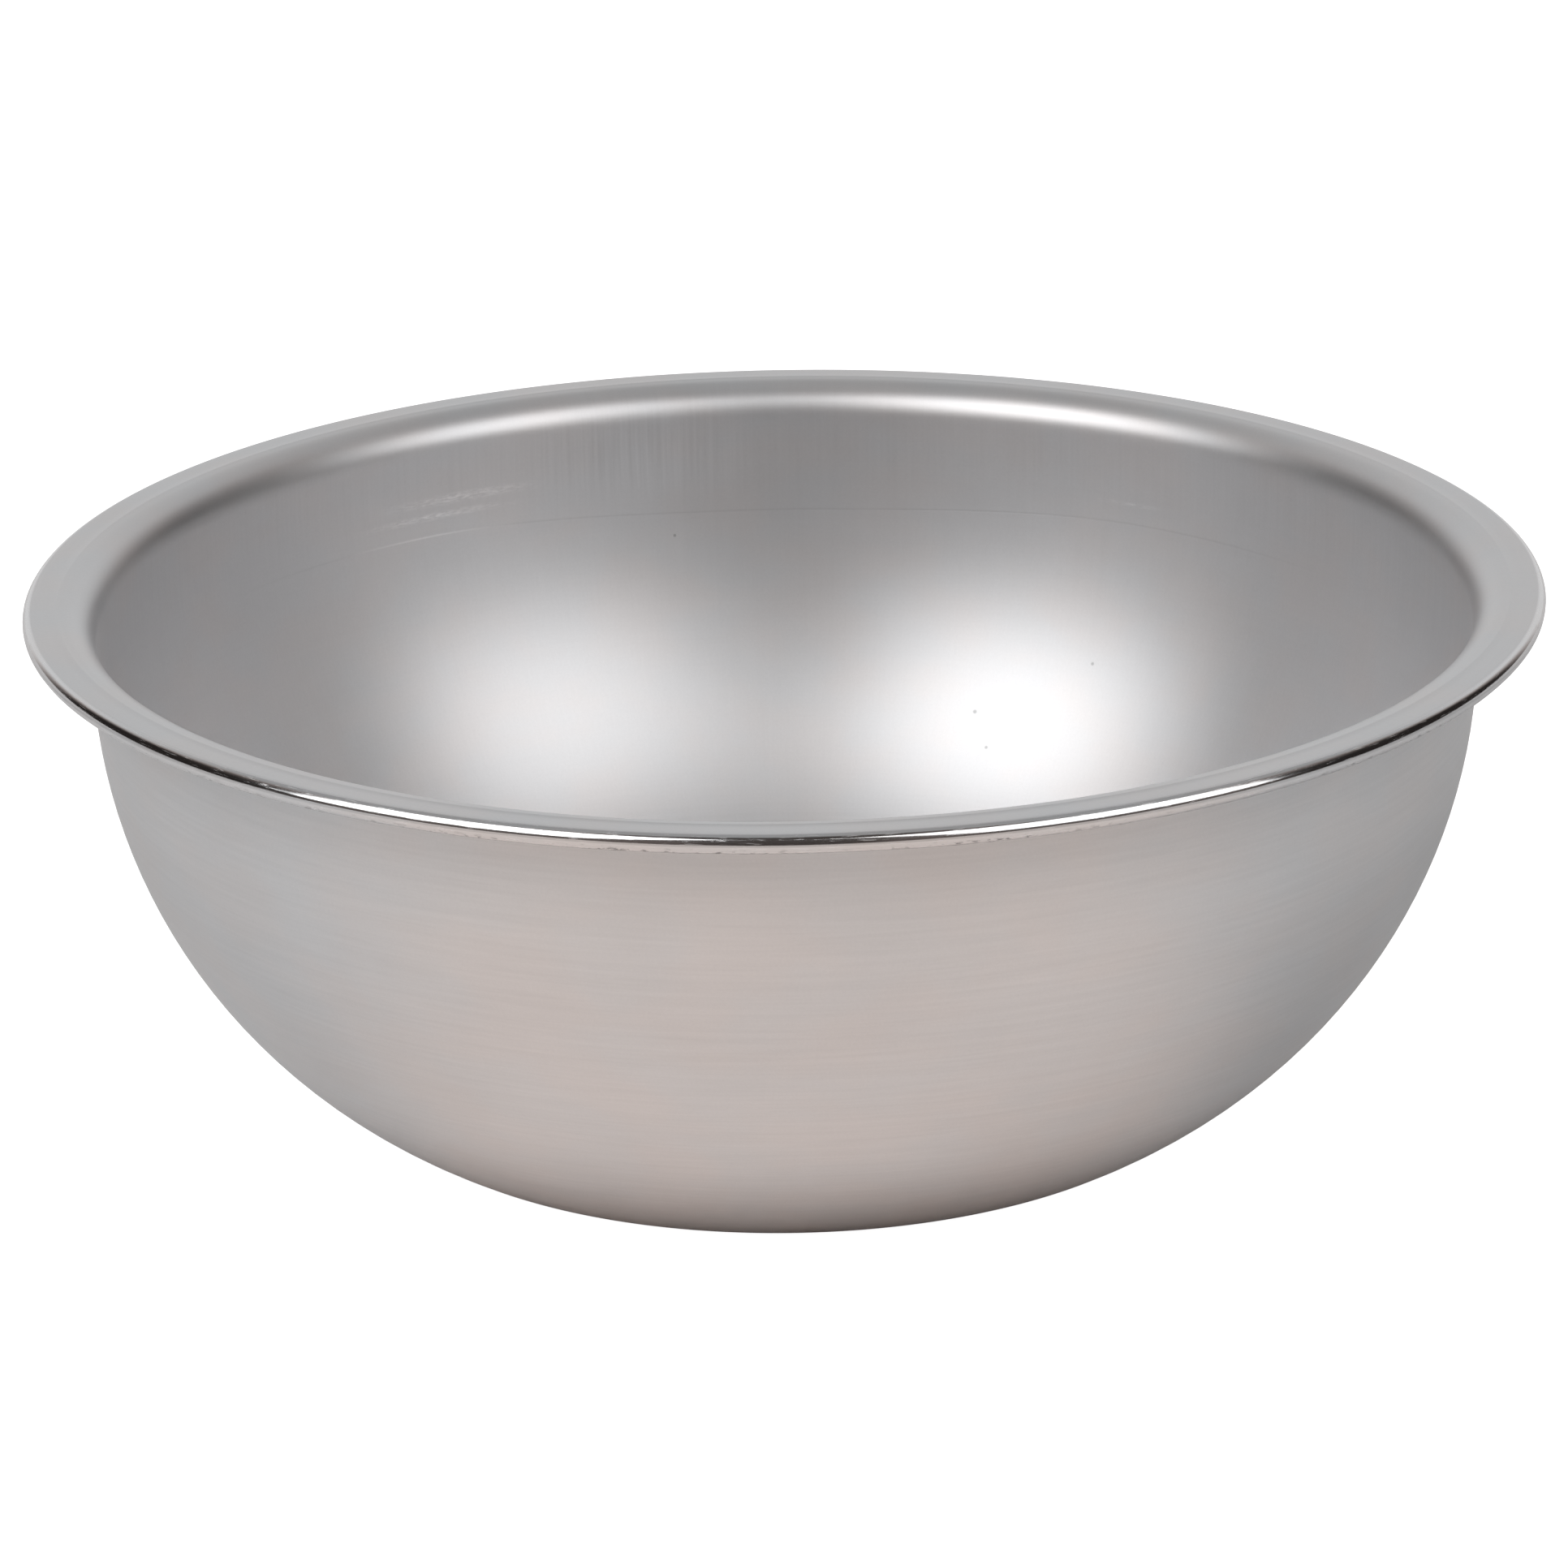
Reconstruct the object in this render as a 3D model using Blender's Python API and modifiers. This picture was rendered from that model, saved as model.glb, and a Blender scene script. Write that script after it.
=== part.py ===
"""A mixing bowl: one deep-drawn sheet of stainless steel, with a flat base, a round wall, a flat flange and
an edge that is rolled under into a bead.

Metres, +Z up. The origin is the centre of the base's underside and Z is the axis of the bowl.
The whole section is one chain of tangent arcs on the food side of the sheet, from the middle of the floor,
up the wall, over the shoulder and the flange, and round the bead. A Screw turns it and Solidify adds the
thickness on the outside.
"""

import math

import bpy

MM = 0.001

# Driving dimensions
RIM_RADIUS = 149.0 * MM
HEIGHT = 105.5 * MM
SHEET = 0.9 * MM
WALL_ARC_RADIUS = 105.2 * MM  # outside of the wall
WALL_ARC_CENTRE_X = 30.7 * MM
WALL_ARC_CENTRE_Z = 92.9 * MM
FOOT_RADIUS = 12.2 * MM  # outside of the bend from the base into the wall
SHOULDER_RADIUS = 7.2 * MM  # top of the bend from the wall into the flange
BEAD_RADIUS = 1.9 * MM
BEAD_TURN = math.radians(270)  # how far round the edge is rolled

# Facets
TURN_STEPS = 64
FOOT_FACETS = 4
WALL_FACETS = 12
SHOULDER_FACETS = 6
BEAD_FACETS = 9

MERGE_DISTANCE = 0.01 * MM

STEEL_COLOUR = (0.56, 0.54, 0.52, 1.0)
STEEL_ROUGHNESS = 0.34


def clear_scene():
    for thing in list(bpy.data.objects):
        bpy.data.objects.remove(thing, do_unlink=True)


def arc(centre, radius, start, end, facets):
    """Points on an arc in the XZ plane, after its first one. Angles are in radians from +X towards +Z."""
    turns = [start + (end - start) * step / facets for step in range(1, facets + 1)]
    return [(centre[0] + radius * math.cos(a), centre[1] + radius * math.sin(a)) for a in turns]


def foot_arc_centre():
    """The bend at the foot touches the base plane and lies inside the wall's arc."""
    across = WALL_ARC_RADIUS - FOOT_RADIUS
    rise = WALL_ARC_CENTRE_Z - FOOT_RADIUS
    return WALL_ARC_CENTRE_X + math.sqrt(across**2 - rise**2), FOOT_RADIUS


def shoulder_arc_centre():
    """The bend at the shoulder touches the flange's top and the food side of the wall's arc, from outside."""
    z = HEIGHT - SHOULDER_RADIUS
    reach = WALL_ARC_RADIUS - SHEET + SHOULDER_RADIUS
    return WALL_ARC_CENTRE_X + math.sqrt(reach**2 - (z - WALL_ARC_CENTRE_Z) ** 2), z


def direction(start, end):
    return math.atan2(end[1] - start[1], end[0] - start[0])


def food_side_profile():
    """(x, z) of the food side, from the middle of the floor to the edge of the sheet inside the bead."""
    wall = (WALL_ARC_CENTRE_X, WALL_ARC_CENTRE_Z)
    foot = foot_arc_centre()
    shoulder = shoulder_arc_centre()
    bead = (RIM_RADIUS - BEAD_RADIUS, HEIGHT - BEAD_RADIUS)
    wall_start = direction(wall, foot)
    wall_end = direction(wall, shoulder)

    points = [(0.0, SHEET), (foot[0], SHEET)]
    points += arc(foot, FOOT_RADIUS - SHEET, -math.pi / 2, wall_start, FOOT_FACETS)
    points += arc(wall, WALL_ARC_RADIUS - SHEET, wall_start, wall_end, WALL_FACETS)
    points += arc(shoulder, SHOULDER_RADIUS, wall_end + math.pi, math.pi / 2, SHOULDER_FACETS)
    points.append((bead[0], HEIGHT))
    points += arc(bead, BEAD_RADIUS, math.pi / 2, math.pi / 2 - BEAD_TURN, BEAD_FACETS)
    return points


def profile_object(name, points, collection):
    mesh = bpy.data.meshes.new(name)
    edges = [(i, i + 1) for i in range(len(points) - 1)]
    mesh.from_pydata([(x, 0.0, z) for x, z in points], edges, [])
    thing = bpy.data.objects.new(name, mesh)
    collection.objects.link(thing)
    return thing


def turn(thing):
    screw = thing.modifiers.new("Turn", "SCREW")
    screw.axis = "Z"
    screw.angle = 2 * math.pi
    screw.steps = TURN_STEPS
    screw.render_steps = TURN_STEPS
    screw.use_merge_vertices = True
    screw.merge_threshold = MERGE_DISTANCE
    screw.use_smooth_shade = True


def thicken(thing):
    """Adds the sheet's thickness behind the food side."""
    shell = thing.modifiers.new("Sheet", "SOLIDIFY")
    shell.thickness = SHEET
    shell.offset = -1.0
    shell.use_even_offset = True
    shell.use_rim = True


def steel_material():
    material = bpy.data.materials.new("stainless_steel")
    material.use_nodes = True
    shader = material.node_tree.nodes["Principled BSDF"]
    shader.inputs["Base Color"].default_value = STEEL_COLOUR
    shader.inputs["Roughness"].default_value = STEEL_ROUGHNESS
    shader.inputs["Metallic"].default_value = 1.0
    return material


def make_bowl(collection):
    bowl = profile_object("bowl", food_side_profile(), collection)
    turn(bowl)
    thicken(bowl)
    bowl.data.materials.append(steel_material())
    return bowl


def main():
    clear_scene()
    parts = bpy.data.collections.new("mixing_bowl")
    bpy.context.scene.collection.children.link(parts)
    make_bowl(parts)


main()
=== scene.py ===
"""The looks of the mixing bowl: satin stainless steel with a polished, rolled edge, in a pale studio.

Metres, +Z up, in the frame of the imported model. The bowl is one sheet of steel, so its visible
surface is one closed, turned mesh. It stands for the CAD node "bowl" and rides on the body "root".
"""

import math

import bpy
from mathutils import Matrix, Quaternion, Vector, noise


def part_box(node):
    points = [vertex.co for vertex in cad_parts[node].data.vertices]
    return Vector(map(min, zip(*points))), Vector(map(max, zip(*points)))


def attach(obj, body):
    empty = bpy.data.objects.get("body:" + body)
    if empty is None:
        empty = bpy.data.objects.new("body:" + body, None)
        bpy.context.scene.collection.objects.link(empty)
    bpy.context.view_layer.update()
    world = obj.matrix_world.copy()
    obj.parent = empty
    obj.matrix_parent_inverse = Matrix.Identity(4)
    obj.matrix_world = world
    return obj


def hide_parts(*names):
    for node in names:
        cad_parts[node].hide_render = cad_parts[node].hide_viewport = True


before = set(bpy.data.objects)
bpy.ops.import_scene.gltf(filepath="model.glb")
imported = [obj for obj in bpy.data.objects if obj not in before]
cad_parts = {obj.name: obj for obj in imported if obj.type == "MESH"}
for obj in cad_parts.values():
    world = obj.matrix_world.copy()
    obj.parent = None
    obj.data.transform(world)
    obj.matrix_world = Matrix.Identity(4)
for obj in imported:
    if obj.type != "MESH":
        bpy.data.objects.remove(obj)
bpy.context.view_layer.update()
bowl_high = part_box("bowl")[1]

MM = 0.001

# The section, which is the CAD model's: tangent arcs from the bowl's floor to the sheet's edge.
RIM_RADIUS = bowl_high.x
HEIGHT = bowl_high.z
SHEET = 0.9 * MM
WALL_ARC_RADIUS = 105.2 * MM  # outside of the wall
WALL_ARC_CENTRE_X = 30.7 * MM
WALL_ARC_CENTRE_Z = 92.9 * MM
FOOT_RADIUS = 12.2 * MM  # outside of the bend from the base into the wall
SHOULDER_RADIUS = 7.2 * MM  # top of the bend from the wall into the flange
BEAD_RADIUS = 1.9 * MM
BEAD_TURN = 270.0  # degrees from the flat flange round to the cut edge

# Marks that making it left in the sheet
RIDGE_HEIGHT = 0.07 * MM  # where the shoulder meets the flange
RIDGE_WIDTH = 0.5 * MM
EDGE_WAVER = 0.035 * MM  # how far the rolled edge wanders from a true circle
EDGE_WAVES = 9.0  # per radius, so one about every 16 mm
EDGE_SEED = 5  # which wandering it is: without a seed, each run has another one
WAVER_FROM = 0.94  # shares of the rim's radius between which the wandering grows to its full size
WAVER_TO = 0.98

# How finely it is turned
TURN_STEPS = 512
FLOOR_RINGS = 4
FOOT_RINGS = 10
WALL_RINGS = 30
SHOULDER_RINGS = 12
RAMP_RINGS = SHOULDER_RINGS / 3  # how many of them it takes the flange's finish to set in
FLANGE_RINGS = 3
BEAD_RINGS = 36
HIDDEN_RINGS = 12

# The steel: (R, G, B) and roughness of each part
STEEL = (0.660, 0.657, 0.665)
INSIDE_ROUGHNESS = 0.48
OUTSIDE_ROUGHNESS = 0.34
FLANGE_ROUGHNESS = 0.45
POLISHED_ROUGHNESS = 0.11
POLISH_FROM = 6.0  # degrees round the rolled edge
POLISH_TO = 26.0

# Its grain. Lengths are those of one patch of noise; a pair is round the bowl and up the sheet.
STREAK_WIDTH = 0.8 * MM  # fine streaks up the inside of the wall
STREAK_LENGTH = 40.0 * MM
STREAKED_AT = -13.0  # degrees, where the streaks show most
STREAKED_HALF_WIDTH = 12.0
BRUSH_WIDTH = 0.9 * MM  # strokes round the outside
BRUSH_LENGTH = 26.0 * MM
SPUN_WIDTH = 0.8 * MM  # rings that spinning left inside, mostly on the floor of the bowl
SPUN_LENGTH = 120.0 * MM
CLOUD_SIZE = 30.0 * MM  # soft patches of slightly different colour and polish
WARMTH_SIZE = (21.0 * MM, 15.0 * MM)  # of slightly warmer patches
WARMTH_BREAKS = (0.35, 0.65)
SPECKLE_SIZE = 0.45 * MM
MEAN_RADIUS = 125.0 * MM  # where the lengths round the bowl hold

# How far each of them moves the colour, as a share of it, and the roughness, and how deep it is
CLOUD_COLOUR, CLOUD_ROUGHNESS = 0.048, 0.02
STREAK_COLOUR, STREAK_ROUGHNESS, STREAK_DEPTH = 0.04, 0.03, 0.002 * MM
BRUSH_COLOUR, BRUSH_ROUGHNESS, BRUSH_DEPTH = 0.065, 0.03, 0.006 * MM
SPUN_COLOUR, SPUN_ROUGHNESS, SPUN_DEPTH = 0.05, 0.03, 0.006 * MM
SPECKLE_COLOUR = 0.032
COOLER = (0.992, 1.002, 1.006)
WARMER = (1.010, 0.998, 0.990)
STREAKS_AT_HEIGHT = 93.0 * MM
STREAKS_HALF_HEIGHT = 14.0 * MM
STREAKS_ELSEWHERE = 0.35  # how strong they are away from that height
STREAKED_GAIN = 3.5  # how much stronger they are where they show most
SPUN_HEIGHTS = (30.0 * MM, 6.0 * MM)  # between which the rings grow to their full strength
SPUN_ELSEWHERE = 0.25

# Its marks. A pair of numbers tells where a mark starts to show and where it shows in full.
# (degrees round from behind the bowl towards its right, height, size)
SPECKS = (
    (19.7, 38.9 * MM, 0.6 * MM),
    (21.6, 32.6 * MM, 0.5 * MM),
    (31.2, 50.9 * MM, 0.5 * MM),
    (-10.0, 73.7 * MM, 0.45 * MM),
)
TOOL_RING_HEIGHT = 78.3 * MM
TOOL_RING_RISE = 2.2 * MM  # how much it climbs towards the two sides
TOOL_RING_WIDTH = 0.35 * MM
TOOL_RING_RISES = (5.0, 35.0)  # degrees to either side
TOOL_RING_FADES = (60.0, 38.0)
TOOL_RING_GLINT = (-46.0, -23.0)  # degrees between which the ring is painted lighter: a painted glint, where the softbox would shine in it
# The ring's darker line, the colour of the painted glint on its lighter stretch, and its depth
RING_COLOUR, RING_GLINT_COLOUR, RING_DEPTH = -0.07, 0.26, 0.012 * MM
SPECK_COLOUR = -0.35
# Rows of scuffs high on the inside: rougher, and lighter in colour, the lighter colour being a painted
# glint where the softboxes would shine in them.
# (degrees from, degrees to, height, width, strength)
SCUFFS = (
    (-43.0, -23.0, 84.6 * MM, 1.1 * MM, 1.0),
    (-40.5, -20.5, 87.8 * MM, 1.6 * MM, 1.0),
    (29.0, 38.0, 84.7 * MM, 0.7 * MM, 0.5),
)
SCUFF_GRAIN = (1.6 * MM, 0.45 * MM)
SCUFF_BREAKS = (0.30, 0.72)
# The colour shift of the scuffs is a painted glint; their roughness and depth are real.
SCUFF_GLINT_COLOUR, SCUFF_ROUGHNESS, SCUFF_DEPTH = 0.34, 0.12, 0.002 * MM

# The polished edge's wear: dull scratches, which are also painted lighter as a painted glint, fine lines,
# dents, and brown traces on its underside
SCRATCH_GRAIN = (3.5 * MM, 0.3 * MM)
SCRATCH_BREAKS = (0.56, 0.70)
# The scratches' colour shift paints them lighter: a painted glint; their roughness is real.
SCRATCH_GLINT_COLOUR, SCRATCH_ROUGHNESS = 0.15, 0.20
LINE_GRAIN = (14.0 * MM, 0.22 * MM)
LINE_BREAKS = (0.4, 0.7)
LINE_ROUGHNESS, LINE_DEPTH = 0.05, 0.002 * MM
DENT_GRAIN = (5.0 * MM, 1.5 * MM)
DENT_DEPTH = 0.010 * MM
TRACE_GRAIN = (1.6 * MM, 0.8 * MM)
TRACE_BREAKS = (0.54, 0.66)
TRACES_START = (95.0, 135.0)  # degrees round the rolled edge
TRACES_END = (200.0, 175.0)
TRACE_PATCH = (22.0 * MM, 22.0 * MM)
TRACE_PATCH_BREAKS = (0.38, 0.62)
TRACES_BETWEEN_PATCHES = 0.35
TRACE_COLOUR, TRACE_ROUGHNESS = -0.55, 0.25

# The studio. Azimuth 0 is behind the camera and + to its right; distances are from the bowl.
SOFTBOXES = (
    # name, azimuth, elevation, distance, width, height, radiance
    ("softbox_left", -52.0, 43.0, 1.7, 1.4, 1.3, 2.70),
    ("softbox_right", 50.0, 40.5, 1.7, 1.4, 1.3, 1.98),
)
ROOM_BACK = 0.79
ROOM_SIDES = 0.02
ROOM_SIDES_TOP = 0.13
ROOM_FRONT = 0.12
ROOM_TOP = 0.40
ROOM_GAP = 0.06  # between the softboxes
# Where each part of the room starts and where it is there in full: x (across), y (along) or z (up)
# of the direction from the bowl, which is a vector of length 1.
SIDES_TOP_UP = (0.45, 0.75)
FRONT_ALONG = (-0.1, -0.4)
TOP_UP = (0.4, 0.8)
BACK_ACROSS = (0.78, 0.48)
BACK_ALONG = (-0.2, 0.0)
GAP_ACROSS = (0.30, 0.15)
GAP_ALONG = (0.05, -0.15)
FLOOR_SIZE = 8.0
TABLE_RADIUS = 0.36
TABLE_SOFT_EDGE = 0.08
# Where each part of the floor starts and where it is there in full
TABLE_SIDES = (-0.1, 0.1)  # from what is left of the bowl to what is right of it
IN_FRONT = (-0.35, -0.85)  # y over the distance from the axis
BEHIND = (0.15, 0.4)  # y
FAR_BEHIND = (0.3, 1.2)  # y
NEAR_BOWL = (0.20, 0.09)  # distance from the axis
BESIDE_BASE = (0.112, 0.084)  # distance from the axis
CONTACT_SHADOW_SIDES = (-0.04, 0.06)  # x, from the left of the base to its right
TABLE_FRONT = 0.92
TABLE_LEFT = 0.87
TABLE_RIGHT = 0.77
NEAR_GLOW = 0.05  # light that the floor close to the front of the bowl adds
CONTACT_SHADOW_LEFT = 0.95  # what is left of the floor's brightness right beside the base: a painted contact shadow in the floor that the bowl mirrors
CONTACT_SHADOW_RIGHT = 0.80
SWEEP_ALBEDO = 0.95
SWEEP_GLOW = 0.3
BEYOND_ALBEDO = 0.65
PLAIN_TINT = (1.0, 1.0, 1.0)
WARM_TINT = (1.08, 0.99, 0.94)
ROOM_TINT = (1.15, 0.97, 0.90)
SEEN_ALBEDO = 0.7
SEEN_GLOW = 0.95

# The camera, at the photograph's viewing angle
CAMERA_AIM = Vector((-0.6, 0.0, 63.0)) * MM
CAMERA_DISTANCE = 1.4787
CAMERA_ELEVATION = math.radians(19.40)
CAMERA_ROLL = math.radians(-0.953)
CAMERA_LENS = 171.25
SENSOR_WIDTH = 36.0


# ---- The sheet ----


def arc(centre, radius, start, end, rings):
    """Points on an arc in the XZ plane, after its first one. Angles are in radians, +X towards +Z."""
    turns = [start + (end - start) * ring / rings for ring in range(1, rings + 1)]
    return [(centre[0] + radius * math.cos(a), centre[1] + radius * math.sin(a)) for a in turns]


def straight(start, end, rings):
    """Points on a straight stretch, after its first one."""
    across, up = end[0] - start[0], end[1] - start[1]
    shares = [ring / rings for ring in range(1, rings + 1)]
    return [(start[0] + across * share, start[1] + up * share) for share in shares]


def direction(start, end):
    return math.atan2(end[1] - start[1], end[0] - start[0])


def face_of_sheet(depth, bead_rings):
    """Rings from the axis to the cut edge, this deep in the sheet: 0 is the food side, SHEET the other.

    Each is (radius, z, flange, bead): flange is 1 on the flange and most of the shoulder, and bead is
    how many degrees the rolled edge has turned.
    """
    wall = (WALL_ARC_CENTRE_X, WALL_ARC_CENTRE_Z)
    across, rise = WALL_ARC_RADIUS - FOOT_RADIUS, WALL_ARC_CENTRE_Z - FOOT_RADIUS
    foot = (WALL_ARC_CENTRE_X + math.sqrt(across**2 - rise**2), FOOT_RADIUS)
    shoulder_z = HEIGHT - SHOULDER_RADIUS
    reach = WALL_ARC_RADIUS - SHEET + SHOULDER_RADIUS
    shoulder_x = WALL_ARC_CENTRE_X + math.sqrt(reach**2 - (shoulder_z - WALL_ARC_CENTRE_Z) ** 2)
    shoulder = (shoulder_x, shoulder_z)
    bead = (RIM_RADIUS - BEAD_RADIUS, HEIGHT - BEAD_RADIUS)
    wall_start, wall_end = direction(wall, foot), direction(wall, shoulder)
    up, turn = math.pi / 2, math.radians(BEAD_TURN)

    floor_z, flange_z = SHEET - depth, HEIGHT - depth
    points = straight((0.0, floor_z), (foot[0], floor_z), FLOOR_RINGS)
    points += arc(foot, FOOT_RADIUS - floor_z, -up, wall_start, FOOT_RINGS)
    points += arc(wall, WALL_ARC_RADIUS - floor_z, wall_start, wall_end, WALL_RINGS)
    rings = [(x, z, 0.0, 0.0) for x, z in points]
    bend = arc(shoulder, SHOULDER_RADIUS - depth, wall_end + math.pi, up, SHOULDER_RINGS)
    ramp = [min(ring / RAMP_RINGS, 1.0) for ring in range(1, SHOULDER_RINGS + 1)]
    rings += [(x, z, flange, 0.0) for (x, z), flange in zip(bend, ramp)]
    flat = [(shoulder[0] + RIDGE_WIDTH, flange_z)]
    if depth == 0.0:
        flat = [(shoulder[0] + RIDGE_WIDTH / 2, flange_z + RIDGE_HEIGHT)] + flat
    flat += straight(flat[-1], (bead[0], flange_z), FLANGE_RINGS)
    rings += [(x, z, 1.0, 0.0) for x, z in flat]
    curl = arc(bead, BEAD_RADIUS - depth, up, up - turn, bead_rings)
    rings += [(x, z, 1.0, BEAD_TURN * ring / bead_rings) for ring, (x, z) in enumerate(curl, 1)]
    return rings


def section():
    """The whole closed section but for its two ends on the axis: (food side rings, outside rings)."""
    food_side = face_of_sheet(0.0, BEAD_RINGS)
    outside = [(x, z, 0.0, 0.0) for x, z, _, _ in reversed(face_of_sheet(SHEET, HIDDEN_RINGS))]
    return food_side, outside


def waver(x, z, angle):
    """(radius, z) with the small wandering of the rolled edge, which dies away across the flange."""
    share = min(max((x / RIM_RADIUS - WAVER_FROM) / (WAVER_TO - WAVER_FROM), 0.0), 1.0)
    place = Vector((math.cos(angle), math.sin(angle), 0.0)) * EDGE_WAVES
    shift = noise.noise_vector(place) * (EDGE_WAVER * share)
    return x + min(shift.x, 0.0), z + min(shift.y, 0.0)


def turned_mesh(name, rings):
    """A closed mesh turned from rings that start with (radius, z), and a point on the axis at each end."""
    count = len(rings)
    points = []
    for x, z, *_ in rings:
        for step in range(TURN_STEPS):
            angle = 2 * math.pi * step / TURN_STEPS
            radius, height = waver(x, z, angle)
            points.append((radius * math.cos(angle), radius * math.sin(angle), height))
    top, bottom = len(points), len(points) + 1
    points += [(0.0, 0.0, rings[0][1]), (0.0, 0.0, rings[-1][1])]
    faces = []
    for step in range(TURN_STEPS):
        after = (step + 1) % TURN_STEPS
        faces.append((top, step, after))
        for ring in range(count - 1):
            low, high = ring * TURN_STEPS, (ring + 1) * TURN_STEPS
            faces.append((low + after, low + step, high + step, high + after))
        last = (count - 1) * TURN_STEPS
        faces.append((bottom, last + after, last + step))
    mesh = bpy.data.meshes.new(name)
    mesh.from_pydata(points, [], faces)
    mesh.validate()
    mesh.shade_smooth()
    return mesh


def write_attribute(mesh, name, of_rings, at_axis):
    """One number for each ring, and one for each of the two points on the axis."""
    values = [value for value in of_rings for _ in range(TURN_STEPS)]
    mesh.attributes.new(name, "FLOAT", "POINT").data.foreach_set("value", values + list(at_axis))


def write_turn(mesh, rings):
    """The vector (cosine, sine, length along the section), where grain runs round or up the sheet."""
    values = []
    length = rings[0][0]
    before = rings[0]
    for ring in rings:
        length += math.dist(ring[:2], before[:2])
        before = ring
        for step in range(TURN_STEPS):
            angle = 2 * math.pi * step / TURN_STEPS
            values += [math.cos(angle), math.sin(angle), length]
    values += [0.0, 0.0, 0.0, 0.0, 0.0, length + rings[-1][0]]
    mesh.attributes.new("turn", "FLOAT_VECTOR", "POINT").data.foreach_set("vector", values)


def make_bowl():
    food_side, outside = section()
    rings = food_side + outside
    noise.seed_set(EDGE_SEED)
    bowl = bpy.data.objects.new("bowl_steel", turned_mesh("bowl_steel", rings))
    bpy.context.scene.collection.objects.link(bowl)
    is_outside = [0.0] * len(food_side) + [1.0] * len(outside)
    write_attribute(bowl.data, "outside", is_outside, (0.0, 1.0))
    write_attribute(bowl.data, "flange", [ring[2] for ring in rings], (0.0, 0.0))
    write_attribute(bowl.data, "bead", [ring[3] for ring in rings], (0.0, 0.0))
    write_turn(bowl.data, rings)
    bowl.data.materials.append(steel_material())
    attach(bowl, "root")
    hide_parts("bowl")


# ---- Material nodes ----


def plug(tree, socket, value):
    """Sets the socket to a number or a colour, or links it to another node's output."""
    if isinstance(value, (int, float, tuple)):
        socket.default_value = value
    else:
        tree.links.new(value, socket)


def math_node(tree, operation, first, second=0.0):
    node = tree.nodes.new("ShaderNodeMath")
    node.operation = operation
    plug(tree, node.inputs[0], first)
    plug(tree, node.inputs[1], second)
    return node.outputs["Value"]


def smooth_step(tree, value, start, end, low=0.0, high=1.0):
    """Goes smoothly from low at start to high at end."""
    step = tree.nodes.new("ShaderNodeMapRange")
    step.interpolation_type = "SMOOTHSTEP"
    step.inputs["From Min"].default_value = start
    step.inputs["From Max"].default_value = end
    step.inputs["To Min"].default_value = low
    step.inputs["To Max"].default_value = high
    plug(tree, step.inputs["Value"], value)
    return step.outputs["Result"]


def blend(tree, share, first, second):
    """first where share is 0, second where it is 1."""
    mix = tree.nodes.new("ShaderNodeMix")
    plug(tree, mix.inputs["Factor"], share)
    plug(tree, mix.inputs["A"], first)
    plug(tree, mix.inputs["B"], second)
    return mix.outputs["Result"]


def blend_colours(tree, share, first, second):
    mix = tree.nodes.new("ShaderNodeMix")
    mix.data_type = "RGBA"
    colours = [socket for socket in mix.inputs if socket.type == "RGBA"]
    plug(tree, mix.inputs["Factor"], share)
    plug(tree, colours[0], first)
    plug(tree, colours[1], second)
    return [socket for socket in mix.outputs if socket.type == "RGBA"][0]


def scaled_colour(tree, colour, factor):
    node = tree.nodes.new("ShaderNodeVectorMath")
    node.operation = "SCALE"
    tree.links.new(colour, node.inputs[0])
    plug(tree, node.inputs["Scale"], factor)
    return node.outputs["Vector"]


def attribute(tree, name, output="Fac"):
    node = tree.nodes.new("ShaderNodeAttribute")
    node.attribute_name = name
    return node.outputs[output]


def grain(tree, round_it, along_it, detail=2.0):
    """Noise from 0 to 1, in patches this long round the bowl and this long up its section."""
    stretch = tree.nodes.new("ShaderNodeVectorMath")
    stretch.operation = "MULTIPLY"
    tree.links.new(attribute(tree, "turn", "Vector"), stretch.inputs[0])
    stretch.inputs[1].default_value = (MEAN_RADIUS / round_it, MEAN_RADIUS / round_it, 1 / along_it)
    node = tree.nodes.new("ShaderNodeTexNoise")
    node.inputs["Scale"].default_value = 1.0
    node.inputs["Detail"].default_value = detail
    tree.links.new(stretch.outputs["Vector"], node.inputs["Vector"])
    return node.outputs["Fac"]


def around_zero(tree, value, reach):
    """Turns noise from 0 to 1 into a number between about -reach and reach."""
    return math_node(tree, "MULTIPLY", math_node(tree, "SUBTRACT", value, 0.5), 2.0 * reach)


def band(tree, value, middle, half_width):
    """1 at the middle of the band, smoothly to 0 at its two edges."""
    away = math_node(tree, "ABSOLUTE", math_node(tree, "SUBTRACT", value, middle))
    return smooth_step(tree, away, half_width, 0.0)


def product(tree, first, *others):
    for other in others:
        first = math_node(tree, "MULTIPLY", first, other)
    return first


def total(tree, first, *others):
    for other in others:
        first = math_node(tree, "ADD", first, other)
    return first


# ---- The steel ----


class Place:
    """Where on the bowl a point is, in the bowl's own coordinates."""

    def __init__(self, tree):
        place = tree.nodes.new("ShaderNodeTexCoord")
        parts = tree.nodes.new("ShaderNodeSeparateXYZ")
        tree.links.new(place.outputs["Object"], parts.inputs["Vector"])
        self.position = place.outputs["Object"]
        self.x, self.y, self.z = (parts.outputs[axis] for axis in "XYZ")
        # Degrees round from +Y, which is behind the bowl, towards +X.
        turned = math_node(tree, "ARCTAN2", self.x, self.y)
        self.degrees = math_node(tree, "MULTIPLY", turned, 180 / math.pi)
        self.outside = attribute(tree, "outside")
        self.inside = math_node(tree, "SUBTRACT", 1.0, self.outside)


def wall_radius(height):
    """Radius of the food side of the wall at this height."""
    reach = WALL_ARC_RADIUS - SHEET
    return WALL_ARC_CENTRE_X + math.sqrt(reach**2 - (height - WALL_ARC_CENTRE_Z) ** 2)


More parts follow.
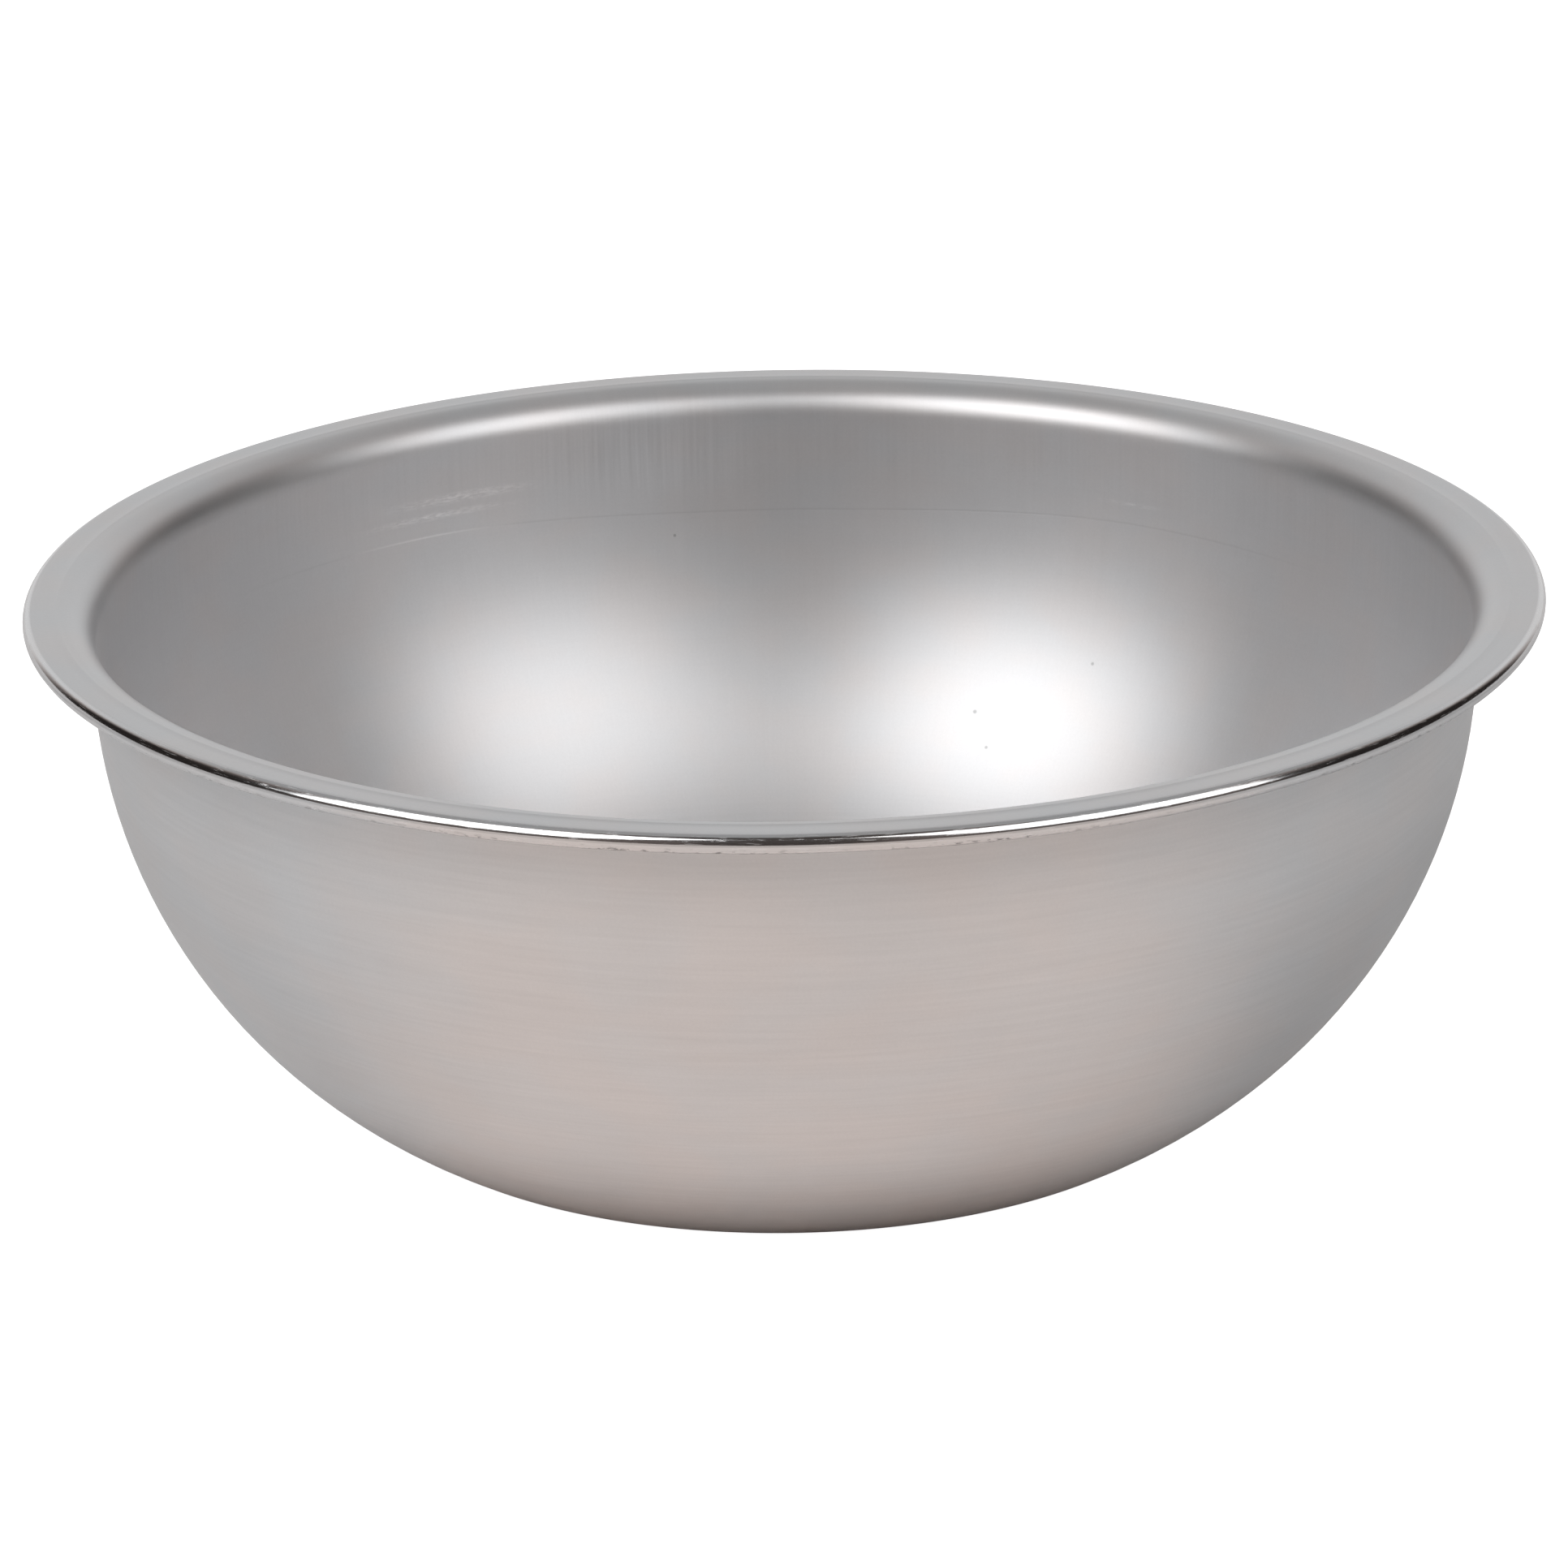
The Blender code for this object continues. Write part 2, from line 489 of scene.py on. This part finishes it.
def specks(tree, place):
    """1 on the few dark specks on the inside."""
    found = 0.0
    for degrees, height, size in SPECKS:
        angle, radius = math.radians(degrees), wall_radius(height)
        away = tree.nodes.new("ShaderNodeVectorMath")
        away.operation = "DISTANCE"
        tree.links.new(place.position, away.inputs[0])
        away.inputs[1].default_value = (radius * math.sin(angle), radius * math.cos(angle), height)
        speck = smooth_step(tree, away.outputs["Value"], size, size / 3)
        found = math_node(tree, "MAXIMUM", found, speck)
    return product(tree, found, place.inside)


def scuffs_and_painted_glints(tree, place):
    """1 on the rows of small rubbed marks high on the inside, which are rougher and also painted lighter:
    a painted glint of the softboxes.
    """
    found = 0.0
    broken = smooth_step(tree, grain(tree, *SCUFF_GRAIN, detail=4.0), *SCUFF_BREAKS)
    for start, end, height, width, strength in SCUFFS:
        across = band(tree, place.degrees, (start + end) / 2, (end - start) / 2)
        up = band(tree, place.z, height, width)
        found = math_node(tree, "MAXIMUM", found, product(tree, across, up, broken, strength))
    return product(tree, found, place.inside)


def tool_ring(tree, place):
    """1 on the fine ring that the spinning tool left inside, which climbs a little to the sides."""
    sideways = math_node(tree, "ABSOLUTE", place.degrees)
    climb = smooth_step(tree, sideways, *TOOL_RING_RISES)
    height = total(tree, TOOL_RING_HEIGHT, product(tree, climb, TOOL_RING_RISE))
    behind = smooth_step(tree, sideways, *TOOL_RING_FADES)
    return product(tree, band(tree, place.z, height, TOOL_RING_WIDTH), behind, place.inside)


def steel_material():
    material = bpy.data.materials.new("satin_steel_sheet")
    material.use_nodes = True
    tree = material.node_tree
    shader = tree.nodes["Principled BSDF"]
    shader.inputs["Metallic"].default_value = 1.0
    place = Place(tree)
    bead, flange = attribute(tree, "bead"), attribute(tree, "flange")
    polish = smooth_step(tree, bead, POLISH_FROM, POLISH_TO)
    satin = math_node(tree, "SUBTRACT", 1.0, polish)

    streaks = grain(tree, STREAK_WIDTH, STREAK_LENGTH)
    brush = grain(tree, BRUSH_LENGTH, BRUSH_WIDTH, detail=3.0)
    spun = grain(tree, SPUN_LENGTH, SPUN_WIDTH, detail=3.0)
    low_inside = smooth_step(tree, place.z, *SPUN_HEIGHTS, low=SPUN_ELSEWHERE)
    spun_strength = product(tree, place.inside, low_inside)
    clouds = grain(tree, CLOUD_SIZE, CLOUD_SIZE, detail=3.0)
    warmth = grain(tree, *WARMTH_SIZE)
    speckle = grain(tree, SPECKLE_SIZE, SPECKLE_SIZE)
    near_shoulder = band(tree, place.z, STREAKS_AT_HEIGHT, STREAKS_HALF_HEIGHT)
    streaked = band(tree, place.degrees, STREAKED_AT, STREAKED_HALF_WIDTH)
    full_strength = total(tree, 1.0, product(tree, streaked, STREAKED_GAIN))
    streak_strength = blend(tree, near_shoulder, STREAKS_ELSEWHERE, full_strength)
    inside_streaks = product(tree, streaks, streak_strength)

    scuffs_with_painted_glint = scuffs_and_painted_glints(tree, place)
    ring = tool_ring(tree, place)
    # Where the ring is painted lighter: a painted glint
    ring_from, ring_to = TOOL_RING_GLINT
    ring_glint = band(tree, place.degrees, (ring_from + ring_to) / 2, (ring_to - ring_from) / 2)
    dark = specks(tree, place)
    # Dull scratches in the polished edge, painted lighter as a painted glint, and the brown traces left
    # under it
    dashes = smooth_step(tree, grain(tree, *SCRATCH_GRAIN, detail=3.0), *SCRATCH_BREAKS)
    scratches_with_painted_glint = product(tree, dashes, polish)
    lines = grain(tree, *LINE_GRAIN)
    low_on_bead = product(
        tree,
        smooth_step(tree, bead, *TRACES_START),
        smooth_step(tree, bead, *TRACES_END),
    )
    traces = smooth_step(tree, grain(tree, *TRACE_GRAIN, detail=4.0), *TRACE_BREAKS)
    patches = grain(tree, *TRACE_PATCH, detail=1.0)
    patchy = smooth_step(tree, patches, *TRACE_PATCH_BREAKS, low=TRACES_BETWEEN_PATCHES)
    stained = product(tree, traces, low_on_bead, patchy)

    # Colour
    gain = total(
        tree,
        1.0,
        product(tree, around_zero(tree, clouds, CLOUD_COLOUR), satin),
        product(
            tree,
            around_zero(tree, streaks, STREAK_COLOUR),
            streak_strength,
            place.inside,
            satin,
        ),
        product(tree, around_zero(tree, brush, BRUSH_COLOUR), place.outside),
        product(tree, around_zero(tree, spun, SPUN_COLOUR), spun_strength, satin),
        product(tree, around_zero(tree, speckle, SPECKLE_COLOUR), satin),
        # Painted glint: the scuffs are painted lighter
        product(tree, scuffs_with_painted_glint, SCUFF_GLINT_COLOUR),
        # Painted glint: the ring is painted lighter over a stretch of degrees
        product(tree, ring, ring_glint, RING_GLINT_COLOUR),
        product(tree, ring, RING_COLOUR),
        product(tree, dark, SPECK_COLOUR),
        # Painted glint: the scratches on the polished edge are painted lighter
        product(tree, scratches_with_painted_glint, SCRATCH_GLINT_COLOUR),
        product(tree, stained, TRACE_COLOUR),
    )
    cooler = (*(steel * factor for steel, factor in zip(STEEL, COOLER)), 1.0)
    warmer = (*(steel * factor for steel, factor in zip(STEEL, WARMER)), 1.0)
    colour = blend_colours(tree, smooth_step(tree, warmth, *WARMTH_BREAKS), cooler, warmer)
    tree.links.new(scaled_colour(tree, colour, gain), shader.inputs["Base Color"])

    # Roughness
    dull = blend(tree, place.outside, INSIDE_ROUGHNESS, OUTSIDE_ROUGHNESS)
    dull = blend(tree, flange, dull, FLANGE_ROUGHNESS)
    dull = total(
        tree,
        dull,
        around_zero(tree, clouds, CLOUD_ROUGHNESS),
        product(tree, around_zero(tree, inside_streaks, STREAK_ROUGHNESS), place.inside),
        product(tree, around_zero(tree, brush, BRUSH_ROUGHNESS), place.outside),
        product(tree, around_zero(tree, spun, SPUN_ROUGHNESS), spun_strength),
        product(tree, scuffs_with_painted_glint, SCUFF_ROUGHNESS),
    )
    rough = blend(tree, polish, dull, POLISHED_ROUGHNESS)
    rough = total(
        tree,
        rough,
        product(tree, smooth_step(tree, lines, *LINE_BREAKS), polish, LINE_ROUGHNESS),
        product(tree, scratches_with_painted_glint, SCRATCH_ROUGHNESS),
        product(tree, stained, TRACE_ROUGHNESS),
    )
    tree.links.new(rough, shader.inputs["Roughness"])

    # Relief, in metres
    relief = total(
        tree,
        product(tree, grain(tree, *DENT_GRAIN), polish, DENT_DEPTH),
        product(tree, lines, polish, LINE_DEPTH),
        product(tree, brush, place.outside, BRUSH_DEPTH),
        product(tree, spun, spun_strength, satin, SPUN_DEPTH),
        product(tree, inside_streaks, place.inside, satin, STREAK_DEPTH),
        product(tree, ring, -RING_DEPTH),
        product(tree, scuffs_with_painted_glint, speckle, SCUFF_DEPTH),
    )
    bump = tree.nodes.new("ShaderNodeBump")
    bump.inputs["Distance"].default_value = 1.0
    tree.links.new(relief, bump.inputs["Height"])
    tree.links.new(bump.outputs["Normal"], shader.inputs["Normal"])
    return material


# ---- The studio ----


def make_floor():
    """A pale floor. The bowl mirrors a table's width of it, the sweep behind and a duller rest.

    To the camera it is white. That difference is made with Light Path in this material only.
    """
    bpy.ops.mesh.primitive_plane_add(size=FLOOR_SIZE)
    floor = bpy.context.object
    floor.name = "floor"
    material = bpy.data.materials.new("floor")
    material.use_nodes = True
    tree = material.node_tree
    shader = tree.nodes["Principled BSDF"]
    shader.inputs["Roughness"].default_value = 1.0
    shader.inputs["Specular IOR Level"].default_value = 0.0
    shader.inputs["Emission Color"].default_value = (1.0, 1.0, 1.0, 1.0)

    place = tree.nodes.new("ShaderNodeNewGeometry")
    parts = tree.nodes.new("ShaderNodeSeparateXYZ")
    tree.links.new(place.outputs["Position"], parts.inputs["Vector"])
    x, y = parts.outputs["X"], parts.outputs["Y"]
    far = math_node(tree, "SQRT", total(tree, product(tree, x, x), product(tree, y, y)))
    from_edge = math_node(tree, "SUBTRACT", far, TABLE_RADIUS)
    on_table = smooth_step(tree, from_edge, TABLE_SOFT_EDGE, -TABLE_SOFT_EDGE)
    in_front = smooth_step(tree, math_node(tree, "DIVIDE", y, far), *IN_FRONT)
    table = smooth_step(tree, x, *TABLE_SIDES, low=TABLE_LEFT, high=TABLE_RIGHT)
    table = blend(tree, in_front, table, TABLE_FRONT)
    # Painted contact shadow: the floor that the bowl mirrors is darker right beside the base, more so to
    # the right.
    contact_shadow = smooth_step(tree, x, *CONTACT_SHADOW_SIDES, low=CONTACT_SHADOW_LEFT, high=CONTACT_SHADOW_RIGHT)
    beside_base = smooth_step(tree, far, *BESIDE_BASE)
    table = product(tree, table, blend(tree, beside_base, 1.0, contact_shadow))
    albedo = blend(tree, on_table, BEYOND_ALBEDO, table)
    albedo = blend(tree, smooth_step(tree, y, *BEHIND), albedo, SWEEP_ALBEDO)

    path = tree.nodes.new("ShaderNodeLightPath")
    seen = path.outputs["Is Camera Ray"]
    albedo = blend(tree, seen, albedo, SEEN_ALBEDO)
    warm = product(tree, in_front, math_node(tree, "SUBTRACT", 1.0, seen))
    tint = blend_colours(tree, warm, (*PLAIN_TINT, 1.0), (*WARM_TINT, 1.0))
    tree.links.new(scaled_colour(tree, tint, albedo), shader.inputs["Base Color"])
    near = smooth_step(tree, far, *NEAR_BOWL)
    off_base = math_node(tree, "SUBTRACT", 1.0, beside_base)
    glow = product(tree, near, in_front, off_base, NEAR_GLOW)
    glow = blend(tree, smooth_step(tree, y, *FAR_BEHIND), glow, SWEEP_GLOW)
    tree.links.new(blend(tree, seen, glow, SEEN_GLOW), shader.inputs["Emission Strength"])
    floor.data.materials.append(material)


def make_softbox(name, azimuth, elevation, distance, width, height, radiance):
    """An area light turned to the bowl."""
    lamp = bpy.data.lights.new(name, "AREA")
    lamp.shape = "RECTANGLE"
    lamp.size, lamp.size_y = width, height
    lamp.energy = radiance * math.pi * width * height
    light = bpy.data.objects.new(name, lamp)
    a, e = math.radians(azimuth), math.radians(elevation)
    back = Vector((math.sin(a) * math.cos(e), -math.cos(a) * math.cos(e), math.sin(e)))
    light.location = back * distance
    light.rotation_mode = "QUATERNION"
    light.rotation_quaternion = (-back).to_track_quat("-Z", "Y")
    light.visible_camera = False
    bpy.context.scene.collection.objects.link(light)


def make_world():
    """White to the camera. What the bowl mirrors is a dim room, paler behind the bowl and above it."""
    world = bpy.data.worlds.new("studio")
    bpy.context.scene.world = world
    world.use_nodes = True
    tree = world.node_tree
    place = tree.nodes.new("ShaderNodeTexCoord")
    parts = tree.nodes.new("ShaderNodeSeparateXYZ")
    tree.links.new(place.outputs["Generated"], parts.inputs["Vector"])
    x, y, z = (parts.outputs[axis] for axis in "XYZ")
    sideways = math_node(tree, "ABSOLUTE", x)
    room = smooth_step(tree, z, *SIDES_TOP_UP, low=ROOM_SIDES, high=ROOM_SIDES_TOP)
    room = blend(tree, smooth_step(tree, y, *FRONT_ALONG), room, ROOM_FRONT)
    pale = smooth_step(tree, z, *TOP_UP, low=ROOM_BACK, high=ROOM_TOP)
    back = product(
        tree,
        smooth_step(tree, sideways, *BACK_ACROSS),
        smooth_step(tree, y, *BACK_ALONG),
    )
    room = blend(tree, back, room, pale)
    gap = product(
        tree,
        smooth_step(tree, sideways, *GAP_ACROSS),
        smooth_step(tree, y, *GAP_ALONG),
    )
    room = blend(tree, gap, room, ROOM_GAP)
    path = tree.nodes.new("ShaderNodeLightPath")
    strength = blend(tree, path.outputs["Is Camera Ray"], room, 1.0)
    tree.links.new(strength, tree.nodes["Background"].inputs["Strength"])
    plain = math_node(tree, "MAXIMUM", path.outputs["Is Camera Ray"], back)
    tint = blend_colours(tree, plain, (*ROOM_TINT, 1.0), (*PLAIN_TINT, 1.0))
    tree.links.new(tint, tree.nodes["Background"].inputs["Color"])


def make_camera():
    data = bpy.data.cameras.new("camera")
    data.sensor_width = SENSOR_WIDTH
    data.lens = CAMERA_LENS
    camera = bpy.data.objects.new("camera", data)
    back = Vector((0.0, -math.cos(CAMERA_ELEVATION), math.sin(CAMERA_ELEVATION)))
    camera.location = CAMERA_AIM + back * CAMERA_DISTANCE
    camera.rotation_mode = "QUATERNION"
    roll = Quaternion((0, 0, 1), CAMERA_ROLL)
    camera.rotation_quaternion = (-back).to_track_quat("-Z", "Y") @ roll
    bpy.context.scene.collection.objects.link(camera)
    bpy.context.scene.camera = camera


make_camera()
make_bowl()
make_floor()
make_world()
for softbox in SOFTBOXES:
    make_softbox(*softbox)
bpy.context.scene.view_settings.view_transform = "Standard"
